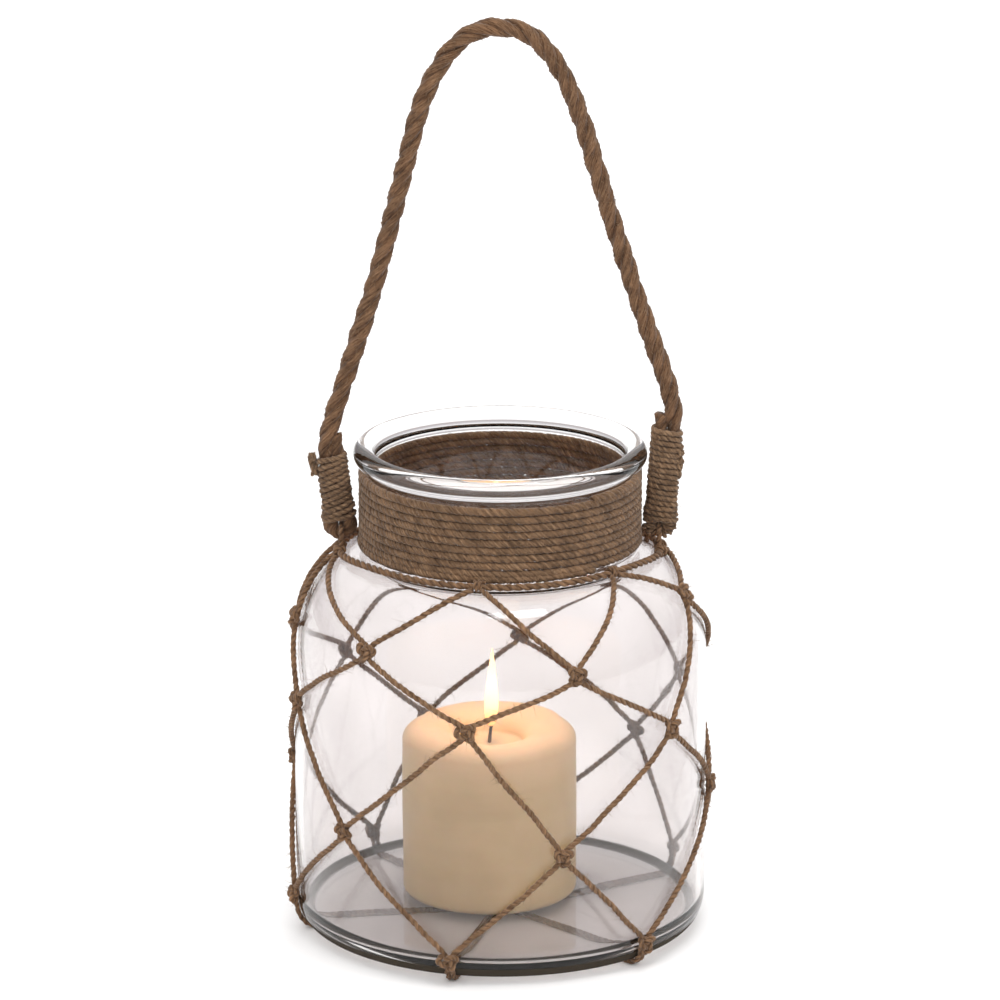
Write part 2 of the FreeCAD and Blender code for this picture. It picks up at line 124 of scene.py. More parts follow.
def makePiece(name, parts, material, body, slot, replaces=()):
    # joins the parts' arrays into one mesh, and hands it to its body
    faces, uv, base = [], [], 0
    for part in parts:
        faces += (part["quads"] + base).tolist() + (part["tris"] + base).tolist()
        uv += [part["uv"], np.zeros((3 * len(part["tris"]), 2))]
        base += len(part["points"])
    mesh = bpy.data.meshes.new(name)
    mesh.from_pydata(np.vstack([part["points"] for part in parts]).tolist(), [], faces)
    layer = mesh.uv_layers.new(name="along")
    layer.data.foreach_set("uv", np.vstack(uv).astype(np.float32).ravel())
    # per point amount of painted shade in the grooves between the plies, read by the jute material
    attribute = mesh.attributes.new("paintedGrooveShade", "FLOAT", "POINT")
    paintedGrooveShade = np.concatenate([part["paintedGrooveShade"] for part in parts])
    attribute.data.foreach_set("value", paintedGrooveShade.astype(np.float32))
    mesh.polygons.foreach_set("use_smooth", np.ones(len(mesh.polygons), bool))
    mesh.materials.append(material)
    mesh.update()
    piece = addObject(name, mesh)
    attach(piece, body)
    if replaces:
        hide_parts(*replaces)
    return piece


def cordFrame(path, side, loop=False):
    # the line's direction, the given side squared up to it, and the third direction
    if loop:
        along = unit(np.roll(path, -1, axis=0) - np.roll(path, 1, axis=0))
    else:
        along = unit(np.gradient(path, axis=0))
    side = unit(side - (side * along).sum(axis=1, keepdims=True) * along)
    return along, side, np.cross(along, side)


def plyCord(path, side, radius, plies=2, lay=7 * mm, sides=8, loop=False, seed=0, ridges=0, ridge=0.0,
            thick=0.64, rough=0.03):
    # Twisted cord. Each ply's middle runs round the line at a fixed distance, once per lay:
    # middle = line + reach * (cos a * side + sin a * across), a = tau * (length / lay + ply / plies).
    # Each ply is a tube with yarn ridges that wind the other way and a seeded roughness. A thick
    # share near 1 melts the plies into one yarn.
    radius = np.broadcast_to(np.asarray(radius, float), (len(path),))
    s = lengthAlong(path)
    total = s[-1] + (np.linalg.norm(path[0] - path[-1]) if loop else 0)
    if loop:
        lay = total / max(1, round(total / lay))
    plyRadius, reach = radius * thick, radius * (1.01 - thick)
    rng = np.random.default_rng(seed + 900)
    _, side, across = cordFrame(path, side, loop)
    theta = np.linspace(-math.pi, math.pi, sides, endpoint=False)
    parts = []
    for ply in range(plies):
        a = tau * (s / lay + ply / plies)
        if not loop:
            a = a + drift(s, seed + 31 * ply, 0.35, 4.3 * lay)
        out = np.cos(a)[:, None] * side + np.sin(a)[:, None] * across
        middle = path + reach[:, None] * out
        _, n, b = cordFrame(middle, out, loop)
        swell = 1 + (0 if loop else drift(s, seed + 7 + ply, 0.06, 2.1 * lay))
        r = plyRadius * swell
        wind = theta[None, :] - (tau * s / (0.55 * lay))[:, None]
        lumps = rng.normal(0, rough, (len(path), sides))
        lumps = (lumps + np.roll(lumps, 1, axis=0) + np.roll(lumps, -1, axis=0)) / 1.7
        ring = r[:, None] * (1 + ridge * np.cos(ridges * wind) + lumps)
        points = middle[:, None, :] + ring[..., None] * (
            np.cos(theta)[None, :, None] * n[:, None, :] + np.sin(theta)[None, :, None] * b[:, None, :]
        )
        # painted shade: the deeper a point lies between the plies, the darker the jute is painted there
        away = np.linalg.norm(points - path[:, None, :], axis=2) / radius[:, None]
        paintedGrooveShade = np.clip((1.0 - away) / 0.45, 0, 1)
        parts.append(gridPart(points, loop, u=s / (tau * plyRadius.mean()), paintedGrooveShade=paintedGrooveShade))
    return parts


hairRoots = {"jar": [], "handle": []}


def addHair(body, path, side, radius, perMetre, seed, length=2.6 * mm, loop=False):
    # where loose fibres leave a cord: random places on its surface, and the way out
    rng = np.random.default_rng(seed)
    along, side, across = cordFrame(path, side, loop)
    count = int(lengthAlong(path)[-1] * perMetre)
    pick = rng.integers(0, len(path), count)
    turn = rng.uniform(0, tau, count)
    out = np.cos(turn)[:, None] * side[pick] + np.sin(turn)[:, None] * across[pick]
    reach = np.broadcast_to(np.asarray(radius, float), (len(path),))[pick]
    size = np.minimum(length * rng.gamma(2.2, 0.42, count), 1.45 * length)
    hairRoots[body].append((path[pick] + 0.8 * reach[:, None] * out, out, along[pick], size))


cameraSetup = {
    "aim": (-0.0001, 0, 0.1879),
    "distance": 2.582,
    "elevation": 16.33,  # degrees above the table
    "lens": 217.9,  # mm, on a 36 mm sensor
}


def makeCamera():
    rise = math.radians(cameraSetup["elevation"])
    x, y, z = cameraSetup["aim"]
    data = bpy.data.cameras.new("camera")
    data.lens = cameraSetup["lens"]
    data.clip_end = 60
    camera = addObject("camera", data)
    camera.location = (
        x, y - cameraSetup["distance"] * math.cos(rise), z + cameraSetup["distance"] * math.sin(rise)
    )
    camera.rotation_euler = (math.pi / 2 - rise, 0, 0)
    bpy.context.scene.camera = camera


makeCamera()


def feed(tree, node, values):
    # sets or links a node's inputs: each value is a number, a colour or another node's output
    for name, value in values.items():
        socket = node.inputs[name]
        if isinstance(value, bpy.types.NodeSocket):
            tree.links.new(value, socket)
        elif isinstance(value, tuple) and len(socket.default_value) == 4:
            socket.default_value = (*value, 1)
        else:
            socket.default_value = value


def addNode(tree, kind, inputs={}, **settings):
    node = tree.nodes.new("ShaderNode" + kind)
    for name, value in settings.items():
        setattr(node, name, value)
    feed(tree, node, inputs)
    return node


def startMaterial(name):
    # an empty material with its main shader, and the piece's own coordinates
    material = bpy.data.materials.new(name)
    material.use_nodes = True
    tree = material.node_tree
    tree.nodes.clear()
    shader = addNode(tree, "BsdfPrincipled")
    output = addNode(tree, "OutputMaterial", {0: shader.outputs[0]})
    return material, tree, shader, output, addNode(tree, "TexCoord").outputs["Object"]


def noise(tree, vector, scale, detail=3.0, rough=0.55, stretch=None):
    if stretch is not None:
        vector = addNode(tree, "Mapping", {0: vector, "Scale": stretch}).outputs[0]
    settings = {"Vector": vector, "Scale": scale, "Detail": detail, "Roughness": rough}
    return addNode(tree, "TexNoise", settings).outputs["Fac"]


def ramp(tree, value, stops):
    node = addNode(tree, "ValToRGB", {0: value})
    band = node.color_ramp
    while len(band.elements) < len(stops):
        band.elements.new(0.5)
    for element, (place, colour) in zip(band.elements, stops):
        element.position = place
        element.color = (*colour, 1)
    return node.outputs[0]


def blendColours(tree, first, second, share, mode="MIX"):
    node = addNode(tree, "Mix", {}, data_type="RGBA", blend_type=mode)
    feed(tree, node, {0: share, 6: first, 7: second})
    return node.outputs[2]


def shade(tree, colour, value, stops, share=1.0):
    # the colour times a ramp of the value
    return blendColours(tree, colour, ramp(tree, value, stops), share, "MULTIPLY")


def rise(tree, value, low, high, **settings):
    # 0 at low and 1 at high
    node = addNode(tree, "MapRange", {"Value": value, "From Min": low, "From Max": high}, **settings)
    return node.outputs[0]


def heightOf(tree, place):
    return addNode(tree, "SeparateXYZ", {0: place}).outputs["Z"]


def bumpFrom(tree, shader, height, strength, distance):
    bump = addNode(tree, "Bump", {"Height": height, "Strength": strength, "Distance": distance})
    feed(tree, shader, {"Normal": bump.outputs[0]})


juteLooks = {
    "rope": {"dark": (0.089, 0.043, 0.022), "mid": (0.164, 0.092, 0.050), "light": (0.291, 0.179, 0.103)},
    "net": {"dark": (0.094, 0.050, 0.025), "mid": (0.235, 0.139, 0.078), "light": (0.395, 0.254, 0.150)},
    "wrap": {"dark": (0.080, 0.044, 0.024), "mid": (0.202, 0.124, 0.072), "light": (0.338, 0.226, 0.136)},
    "twine": {"dark": (0.085, 0.047, 0.025), "mid": (0.221, 0.141, 0.085), "light": (0.395, 0.273, 0.169)},
}


def makeJute(name, fibreScale=14.0, bumpDepth=0.3 * mm, stretch=1.3):
    # Jute: long fibres from noise stretched along the cord, patches of lighter and darker stalk,
    # painted shade in the grooves between the plies, and a bump that follows the same fibres.
    look = juteLooks[name]
    material, tree, shader, _, place = startMaterial("jute_" + name)
    along = addNode(tree, "UVMap", uv_map="along").outputs[0]
    paintedGrooveShade = addNode(tree, "Attribute", attribute_name="paintedGrooveShade").outputs["Fac"]
    fibre = noise(tree, along, 1.0, 5.0, 0.65, (stretch, fibreScale, 1))
    strand = noise(tree, along, 1.0, 3.0, 0.6, (stretch * 0.3, fibreScale * 0.35, 1))
    fleck = noise(tree, along, 1.0, 2.0, 0.7, (stretch * 1.9, fibreScale * 0.9, 1))
    patch = noise(tree, place, 160.0, 3.0, 0.6)
    speck = noise(tree, place, 1400.0, 2.0, 0.6)
    colour = ramp(tree, fibre, [(0.30, look["dark"]), (0.50, look["mid"]), (0.72, look["light"])])
    for value, stops, share in (
        (patch, [(0.30, (0.66, 0.64, 0.62)), (0.52, (1, 1, 1)), (0.75, (1.22, 1.18, 1.12))], 1.0),
        (strand, [(0.34, (0.60, 0.57, 0.54)), (0.58, (1.10, 1.08, 1.06))], 0.8),
        (speck, [(0.35, (0.82, 0.8, 0.78)), (0.65, (1.1, 1.1, 1.1))], 0.7),
        (fleck, [(0.33, (0.36, 0.32, 0.29)), (0.42, (1, 1, 1)), (0.66, (1.12, 1.10, 1.08))], 1.0),
        # painted shade: darker deep in the grooves between the plies
        (paintedGrooveShade, [(0.05, (1, 1, 1)), (0.9, (0.50, 0.44, 0.39))], 1.0),
    ):
        colour = shade(tree, colour, value, stops, share)
    bumpFrom(tree, shader, fibre, 0.75, bumpDepth)
    feed(tree, shader, {
        "Base Color": colour, "Roughness": 0.86, "Specular IOR Level": 0.22,
        "Sheen Weight": 0.18, "Sheen Roughness": 0.45,
    })
    return material


def makeFuzz():
    # single loose fibres, paler than the cord because light gets through them
    material, tree, shader, _, place = startMaterial("jute_fuzz")
    colour = ramp(tree, noise(tree, place, 300.0), [(0.35, (0.13, 0.08, 0.045)), (0.65, (0.32, 0.215, 0.13))])
    feed(tree, shader, {"Base Color": colour, "Roughness": 0.7})
    return material


glassLook = {
    "tint": (0.840, 0.812, 0.808),
    "cloud": (0.755, 0.726, 0.722),
    # painted light: a paler tint on the rim that brightens it
    "rim": (0.975, 0.965, 0.960),
    "paintedRimLightFrom": 195 * mm,  # height over the foot where the paler rim tint, a painted brightening of the rim, begins
    "paintedRimLightFade": 4 * mm,
    # painted shade: the dark colour of the band at the foot, standing in for the shade seen through the thick
    # heel
    "foot": (0.052, 0.042, 0.031),
    "paintedShadeMattShare": 0.9,  # how much of the painted shade band is matt
    "shadow": (0.86, 0.845, 0.84),  # light that passes through to the table
    "ior": 1.46,
    "roughness": 0.03,
    "paintedShadeTop": 5.6 * mm,  # height where the painted dark band fades out
    "paintedShadeFade": 1.2 * mm,
    "paintedShadeInside": 81.5 * mm,  # the painted shade band lies outside this radius
}


def makeGlass(footZ):
    # Clear glass with a faint warm-violet cast, slow ripples from pressing, a paler rim tint that paints
    # light onto the rim, and a painted dark matt band at the foot that stands in for the shade seen through
    # the heel. Light for what is behind it passes straight through.
    look = glassLook
    material, tree, shader, output, place = startMaterial("jar_glass")
    height = heightOf(tree, place)
    top, rim, inside = footZ + look["paintedShadeTop"], footZ + look["paintedRimLightFrom"], look["paintedShadeInside"]
    # painted shade mask: 1 low on the outer heel, below the band's height and outside its radius
    low = rise(tree, height, top, top - look["paintedShadeFade"], interpolation_type="SMOOTHSTEP")
    flat = addNode(tree, "VectorMath", {0: place, 1: (1, 1, 0)}, operation="MULTIPLY")
    radius = addNode(tree, "VectorMath", {0: flat.outputs[0]}, operation="LENGTH").outputs["Value"]
    ring = rise(tree, radius, inside, inside + 2 * mm)
    band = addNode(tree, "Math", {0: low, 1: ring}, operation="MULTIPLY").outputs[0]
    tint = ramp(tree, noise(tree, place, 14.0, 2.0), [(0.35, look["cloud"]), (0.6, look["tint"])])
    # painted light: the tint turns paler on the rim
    tint = blendColours(tree, tint, look["rim"], rise(tree, height, rim, rim + look["paintedRimLightFade"]))
    bumpFrom(tree, shader, noise(tree, place, 26.0, 2.0, 0.5, (1, 1, 0.35)), 0.12, 0.6 * mm)
    feed(tree, shader, {
        "Base Color": blendColours(tree, tint, look["foot"], band),
        "Roughness": look["roughness"], "IOR": look["ior"], "Transmission Weight": 1.0,
    })
    # painted shade: a dark matt sheet mixed over the glass in the band
    paintedShadeMatt = addNode(tree, "BsdfDiffuse", {0: look["foot"]})
    share = addNode(tree, "MapRange", {"Value": band, "To Max": look["paintedShadeMattShare"]})
    body = addNode(tree, "MixShader", {0: share.outputs[0], 1: shader.outputs[0], 2: paintedShadeMatt.outputs[0]})
    clear = addNode(tree, "BsdfTransparent", {0: look["shadow"]})
    rays = addNode(tree, "LightPath").outputs["Is Shadow Ray"]
    mix = addNode(tree, "MixShader", {0: rays, 1: body.outputs[0], 2: clear.outputs[0]})
    feed(tree, output, {0: mix.outputs[0]})
    return material


waxLook = {
    # painted light and shade: the wax colour runs from darker at the foot to lighter at the top, where the
    # flame lights it
    "side": (0.77, 0.575, 0.32),
    "low": (0.735, 0.545, 0.295),
    "top": (0.78, 0.58, 0.38),
    "paintedGlowDepth": 30 * mm,  # how far down the painted glow and the painted lighter top reach
}


def makeWax(topZ):
    # Cream wax: light sinks in, a painted glow (emission standing in for the flame's light) fades with depth
    # below the top, the colour is painted lighter towards the top and darker towards the foot, and faint
    # clouds and pouring rings break up the side.
    material, tree, shader, _, place = startMaterial("candle_wax")
    depth = rise(tree, heightOf(tree, place), topZ - waxLook["paintedGlowDepth"], topZ)
    # painted light: the wax is coloured lighter towards the top
    body = ramp(tree, depth, [(0.0, waxLook["low"]), (0.45, waxLook["side"]), (1.0, waxLook["top"])])
    cloud = noise(tree, place, 45.0, 4.0, 0.6)
    ring = noise(tree, place, 30.0, 3.0, 0.55, (0.25, 0.25, 4.0))
    body = shade(tree, body, cloud, [(0.3, (0.93, 0.91, 0.87)), (0.7, (1.04, 1.03, 1.02))])
    body = shade(tree, body, ring, [(0.35, (0.965, 0.955, 0.94)), (0.62, (1.02, 1.02, 1.02))])
    # painted glow: emission that stands in for the flame's light inside the wax
    glow = ramp(tree, depth, [
        (0.0, (0, 0, 0)), (0.55, (0.10, 0.045, 0.012)), (0.86, (0.42, 0.20, 0.06)), (1.0, (0.62, 0.33, 0.12)),
    ])
    bumpFrom(tree, shader, cloud, 0.25, 0.5 * mm)
    feed(tree, shader, {
        "Base Color": body, "Emission Color": glow, "Emission Strength": 0.22, "Roughness": 0.48,
        "Subsurface Weight": 0.55, "Subsurface Radius": (1.0, 0.55, 0.28), "Subsurface Scale": 6 * mm,
        "Coat Weight": 0.12, "Coat Roughness": 0.35,
    })
    return material


def makeWick(lowZ, highZ):
    # charred cotton with a glowing end
    material, tree, shader, _, place = startMaterial("wick_char")
    height = rise(tree, heightOf(tree, place), lowZ, highZ)
    char = ramp(tree, height, [(0.0, (0.16, 0.09, 0.04)), (0.4, (0.02, 0.014, 0.01))])
    char = shade(tree, char, noise(tree, place, 2500.0), [(0.3, (0.6, 0.6, 0.6)), (0.7, (1.4, 1.4, 1.4))])
    ember = ramp(tree, height, [(0.8, (0, 0, 0)), (1.0, (1.0, 0.25, 0.03))])
    feed(tree, shader, {
        "Base Color": char, "Emission Color": ember, "Emission Strength": 1.5, "Roughness": 0.9,
    })
    return material


def makeFlameMaterial(lowZ, highZ):
    # dim brown-orange at its root, then yellow-white, and orange again at its tip
    material, tree, shader, _, place = startMaterial("flame_light")
    colour = ramp(tree, rise(tree, heightOf(tree, place), lowZ, highZ), [
        (0.0, (0.55, 0.26, 0.10)), (0.10, (0.95, 0.52, 0.20)), (0.26, (1.0, 0.83, 0.48)),
        (0.55, (1.0, 0.95, 0.78)), (0.86, (1.0, 0.84, 0.50)), (1.0, (1.0, 0.60, 0.22)),
    ])
    feed(tree, shader, {
        "Base Color": (0.9, 0.5, 0.2), "Emission Color": colour, "Emission Strength": 1.6,
        "Roughness": 1.0, "Specular IOR Level": 0.0,
    })
    return material


juteNet, juteWrap = makeJute("net"), makeJute("wrap")
juteRope, juteTwine = makeJute("rope", 30.0, 0.5 * mm, 2.4), makeJute("twine")
fuzzMaterial = makeFuzz()
print("materials ready")


handle = {
    "pivotX": 67.8 * mm,
    "pivotZ": 173.35 * mm,
    "ropeRadius": 4.05 * mm,
    "legRadius": 2.7 * mm,
    "lay": 32 * mm,
    "eyeBend": 4.0 * mm,
    "eyeRadius": 2.8 * mm,
    "legOut": 2.8 * mm,  # half the distance between the doubled rope's legs
    "step": 0.8 * mm,
}
lashings = {
    "left": {"side": -1, "tilt": 7.0, "start": 6.8 * mm, "top": 35.0 * mm, "slant": 1.7 * mm, "tail": 9 * mm},
    "right": {"side": 1, "tilt": 4.0, "start": 6.4 * mm, "top": 46.5 * mm, "slant": 0.4 * mm, "tail": 6 * mm},
}
# the rope's middle over the lashings, in millimetres across and up from the pivot
archRoute = [
    (-71.6, 51.0), (-61.5, 81.0), (-49.6, 121.0), (-39.6, 163.0), (-31.5, 194.0), (-18.0, 215.5),
    (-1.0, 221.5), (16.5, 216.0), (30.5, 193.0), (40.5, 159.0), (53.5, 116.5), (65.5, 81.5), (73.2, 60.0),
]


def legPoint(name, u, w, y=0.0):
    # a lashing's own frame: u points outwards and w runs up the doubled rope
    one = lashings[name]
    tilt = math.radians(one["tilt"])
    x = handle["pivotX"] + u * math.cos(tilt) + w * math.sin(tilt)
    z = handle["pivotZ"] - u * math.sin(tilt) + w * math.cos(tilt)
    return spots(one["side"] * x, y, z)


def splinePath(points, step):
    # evenly spaced points read from one smooth spline that the route's points control
    curve = bpy.data.curves.new("route", "CURVE")
    curve.dimensions = "3D"
    spline = curve.splines.new("NURBS")
    spline.points.add(len(points) - 1)
    spline.points.foreach_set("co", np.hstack([points, np.ones((len(points), 1))]).ravel())
    spline.order_u, spline.use_endpoint_u, spline.resolution_u = 3, True, 40
    holder = bpy.data.objects.new("route", curve)
    mesh = bpy.data.meshes.new_from_object(holder)
    co = np.zeros(3 * len(mesh.vertices))
    mesh.vertices.foreach_get("co", co)
    bpy.data.objects.remove(holder)
    bpy.data.curves.remove(curve)
    bpy.data.meshes.remove(mesh)
    return resample(co.reshape(-1, 3), step)[0]


def makeRope():
    # The handle's arch: a three-ply rope along the route's spline, thinner in the lashings:
    # radius = leg + (rope - leg) * smooth step above each lashing.
    legOut = handle["legOut"]
    legs = {n: [legPoint(n, legOut, one["top"] * f) for f in (0.35, 0.7, 1.0)] for n, one in lashings.items()}
    middle = [np.array([x * mm, 0, handle["pivotZ"] + h * mm]) for x, h in archRoute]
    path = splinePath(np.array(legs["left"] + middle + legs["right"][::-1]), handle["step"])
    s = lengthAlong(path)
    left, right = (s[np.argmin(np.linalg.norm(path - legs[n][-1], axis=1))] for n in ("left", "right"))
    grow = smooth(s, left - 1 * mm, left + 6 * mm) * (1 - smooth(s, right - 6 * mm, right + 1 * mm))
    radius = handle["legRadius"] + (handle["ropeRadius"] - handle["legRadius"]) * grow
    radius = radius * (1 + drift(s, 5, 0.02, 0.05))
    parts = plyCord(
        path, front, radius, 3, handle["lay"], 26, seed=3, ridges=6, ridge=0.03, thick=0.61, rough=0.05
    )
    rope = makePiece("rope_arch", parts, juteRope, "handle", "rope_jute", ["handle_rope"])
    addHair("handle", path, front, radius * 0.98, 5200, 11)
    return rope, path, s[-1]


ropeArch, ropePath, ropeLength = makeRope()
print("rope arch: %.1f mm" % (ropeLength / mm))


jar = {
    "neckRadius": 57 * mm,
    "rootRadius": 2 * mm,
    "shoulderHeight": 47 * mm,
    "neckHeight": 47.3 * mm,
    "heelWidth": 7 * mm,
    "heelHeight": 12 * mm,
    "wall": 3.3 * mm,
    "base": 6 * mm,
    "puntRadius": 62 * mm,
    "puntDepth": 3 * mm,
    "bead": 4.5 * mm,
    "columns": 208,
    "wobble": 0.10 * mm,  # how uneven the pressed wall is
}
lowJar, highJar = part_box("glass_jar")
footZ, neckTopZ = float(lowJar[2]), float(highJar[2])
bodyRadius = float(highJar[0] - lowJar[0]) / 2
shoulderTopZ = neckTopZ - jar["neckHeight"]
shoulderZ = shoulderTopZ - jar["shoulderHeight"]
heelZ = footZ + jar["heelHeight"]
topRadius = jar["neckRadius"] + jar["rootRadius"]
shoulderWidth = bodyRadius - topRadius


def bow(centre, wide, tall, start, end, count):
    # part of an ellipse: centre + (wide * cos a, tall * sin a)
    a = np.radians(np.linspace(start, end, count))
    return spots(centre[0] + wide * np.cos(a), centre[1] + tall * np.sin(a))


# (radius, height) down the outside, from the top of the shoulder to the middle of the foot
profile = np.vstack([
    bow((topRadius, shoulderZ), shoulderWidth, jar["shoulderHeight"], 89.5, 0, 90),
    [[bodyRadius, z] for z in np.linspace(shoulderZ, heelZ, 60)[1:-1]],
    bow((bodyRadius - jar["heelWidth"], heelZ), jar["heelWidth"], jar["heelHeight"], 0, -90, 30),
    [[bodyRadius - jar["heelWidth"] - 1 * mm, footZ], [1 * mm, footZ]],
])
profileLength = lengthAlong(profile)
profileOut = unit(np.gradient(profile, axis=0)[:, ::-1] * [-1, 1])


def reachOf(height):
    # how far down the profile a height is
    return np.interp(-np.asarray(height, float), -profile[:-2, 1], profileLength[:-2])


def onGlass(angle, reach, off):
    # A point off the glass, and its normal: read from the profile, moved out along its normal
    # by off, then turned round the axis by the angle from the front.
    a, reach, off = np.broadcast_arrays(np.radians(angle), reach, off)
    r, z = (np.interp(reach, profileLength, profile[:, i]) for i in (0, 1))
    nr, nz = (np.interp(reach, profileLength, profileOut[:, i]) for i in (0, 1))
    r, z = r + off * nr, z + off * nz
    return turned(r, a, z), unit(turned(nr, a, nz))


def turned(r, a, z):
    # a point at a radius, at an angle from the front and at a height: (r sin a, -r cos a, z)
    return spots(r * np.sin(a), -r * np.cos(a), z)


def makeJar():
    # The jar is one closed profile turned round the axis, plus a slow wobble of the wall,
    # sin(3a) and sin(5a) waves that fade out at the neck and the foot.
    neck, wall, bead, turn = jar["neckRadius"], jar["wall"], jar["bead"], jar["heelWidth"]
    root = jar["rootRadius"]
    bore, inner = neck - wall, bodyRadius - wall
    beadRadius, rimZ = bore + bead, neckTopZ - bead
    beadFoot = math.degrees(math.asin((neck - beadRadius) / bead)) - 90
    rootZ, floorZ = shoulderTopZ + root, footZ + jar["base"]
    section = np.vstack([
        [[r, footZ + jar["puntDepth"] * math.cos(math.pi * r / jar["puntRadius"] / 2) ** 2]
         for r in np.linspace(0.4 * mm, jar["puntRadius"], 22)],
        [[bodyRadius - turn - 2 * mm, footZ]],
        profile[:-2][::-1],
        bow((topRadius, rootZ), root, root, -90, -180, 8),
        [[neck, z] for z in np.linspace(rootZ, rimZ - bead, 16)[1:-1]],
        bow((beadRadius, rimZ), bead, bead, beadFoot + 4, 180, 40),
        [[bore, z] for z in np.linspace(rimZ, rootZ, 16)[1:-1]],
        bow((topRadius, rootZ), root + wall, root + wall, 180, 270, 10),
        bow((topRadius, shoulderZ), inner - topRadius,
            jar["shoulderHeight"] - wall, 88, 0, 50),
        [[inner, z] for z in np.linspace(shoulderZ, floorZ + turn, 40)[1:-1]],
        bow((inner - turn, floorZ + turn), turn, turn, 0, -90, 16),
        [[r, floorZ] for r in np.linspace(inner - turn, 2 * mm, 14)[1:]],
        [[0.4 * mm, floorZ]],
    ])
    a = np.linspace(0, tau, jar["columns"], endpoint=False)
    r, z = section[:, :1], section[:, 1:]
    fade = np.clip((z - heelZ) / (25 * mm), 0, 1) * np.clip((shoulderTopZ - z) / (30 * mm), 0, 1)
    wave = 0.6 * np.sin(3 * a + 40 * z + 1) + 0.4 * np.sin(5 * a - 65 * z + 2.2)
    r = r - jar["wobble"] * fade * (1 + wave)
    part = gridPart(turned(r, a, z))
    makePiece("jar_glass", [part], makeGlass(footZ), "jar", "glass", ["glass_jar"])


makeJar()
print("jar made")


neckWrap = {
    "cord": 1.95 * mm,
    "turns": 10,
    "lay": 9.5 * mm,
    "step": 1.0 * mm,
    "below": 1.9 * mm,  # how much lower it reaches than the plain cord
    "start": 0.72,  # radians from the front to the lower end
    "uneven": 0.10 * mm,
    "tuck": 0.7 * mm,  # how far the first turn stands out
}


def makeNeckWrap():
    # one cord wound in a helix: it rises evenly with the angle, with a little drift
    low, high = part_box("neck_wrap")
    radius, turns = neckWrap["cord"], neckWrap["turns"]
    ringRadius = float(high[0]) - radius
    count = int(turns * tau * ringRadius / neckWrap["step"])
    a = np.linspace(0, tau * turns, count)
    lowest, highest = float(low[2]) - neckWrap["below"] + radius, float(high[2]) - radius
    z = lowest + (highest - lowest) * np.clip((a - 0.5 * tau) / (tau * (turns - 1)), 0, 1)
    z = z + drift(a, 4, neckWrap["uneven"], 5.0)
    r = ringRadius + drift(a, 9, neckWrap["uneven"], 3.1) + neckWrap["tuck"] * np.clip(1.3 - a / tau, 0, 1)
    turn = neckWrap["start"] - a
    out, path = turned(1, turn, 0), turned(r, turn, z)
    parts = plyCord(path, out, radius, 3, neckWrap["lay"], 7, seed=21, thick=0.7, rough=0.05)
    addHair("jar", path, out, radius, 420, 22, 1.6 * mm)
    makePiece("neck_cord", parts, juteWrap, "jar", "wrap_jute", ["neck_wrap"])


makeNeckWrap()


net = {
    "cord": 1.3 * mm,
    "collarCord": 1.6 * mm,
    "collarOff": 1.95 * mm,  # from the glass to the middle of the collar cord
    "collarOut": 4.9 * mm,
    "collarPull": 5.9 * mm,
    "lay": 6.4 * mm,
    "step": 0.42 * mm,
    "slack": 0.45 * mm,  # sideways unevenness of a strand
}
hitchAngles = [-88.5, -8.5, 49.0, 108.0, 170.0, 230.0]
# the knots, row by row: (angle from the front, height over the foot in millimetres)
knotRows = {
    "upper": [(-40, 138.4), (21, 133.2), (73, 150.0), (148, 138.0), (206, 140.0), (276, 136.2)],
    "middle": [(-73, 104.2), (-9, 110.7), (53, 101.5), (115, 96.7), (174, 97.6), (231, 100.5)],
    "lower": [(-47, 57.2), (17, 55.0), (85, 60.9), (137, 60.8), (202, 60.0), (260, 66.0)],
    "foot": [(-79, 13.9), (-14, 9.0), (43, 9.0), (118, 14.0), (172, 10.0), (220, 12.0)],
}
columnCount = len(hitchAngles)
netJute = (juteNet, "jar", "net_jute")


def collarReach(angle):
    pull = net["collarPull"] * np.sin(np.radians(angle)) ** 10
    radius = jar["neckRadius"] + net["collarOut"] + pull
    return np.interp(radius, profile[:90, 0], profileLength[:90])  # the shoulder's points


def knotSpot(row, index):
    angle, height = knotRows[row][index % columnCount]
    return angle + 360 * (index // columnCount), float(reachOf(footZ + height * mm))


def makeCollar():
    # a closed cord that lies on the shoulder and sags a little between its hitches
    angle = np.linspace(0, 360, 560, endpoint=False)
    reach = collarReach(angle) + drift(np.radians(angle), 8, 0.35 * mm, tau / 2)
    path, out = onGlass(angle, reach, net["collarOff"])
    parts = plyCord(path, out, net["collarCord"], 2, 8.2 * mm, 9, loop=True)
    addHair("jar", path, out, net["collarCord"], 1500, 31, 1.9 * mm)
    makePiece("collar_ply", parts, *netJute, ["collar_cord"])


def coilAround(angle, turns, width, radius, seed):
    # A cord wound round the collar: its middle circles the collar's line, flatter against
    # the glass, while it moves sideways by width.
    t = np.linspace(0, 1, int(turns * 44))
    a = tau * turns * t + 2.4
    across = angle + np.degrees(width * (t - 0.5) / (64 * mm))
    line, out = onGlass(across, collarReach(angle), net["collarOff"])
    level = spots(np.cos(np.radians(across)), np.sin(np.radians(across)), 0)
    down = unit(np.cross(level, out))
    swing = net["collarCord"] + 0.45 * radius
    deep = np.where(np.cos(a) > 0, swing * np.cos(a), 0.35 * swing * np.cos(a))
    path = line + deep[:, None] * out + (swing * np.sin(a))[:, None] * down
    side = unit(np.cos(a)[:, None] * out + np.sin(a)[:, None] * down)
    return plyCord(path, side, radius, 2, 5.5 * mm, 7, seed=seed)


def makeHitches():
    parts = []
    for i, angle in enumerate(hitchAngles):
        parts += coilAround(angle, 2.6, 4.8 * mm, 1.0 * mm, 40 + i)
    makePiece("collar_hitch_ties", parts, *netJute, ["collar_hitches"])


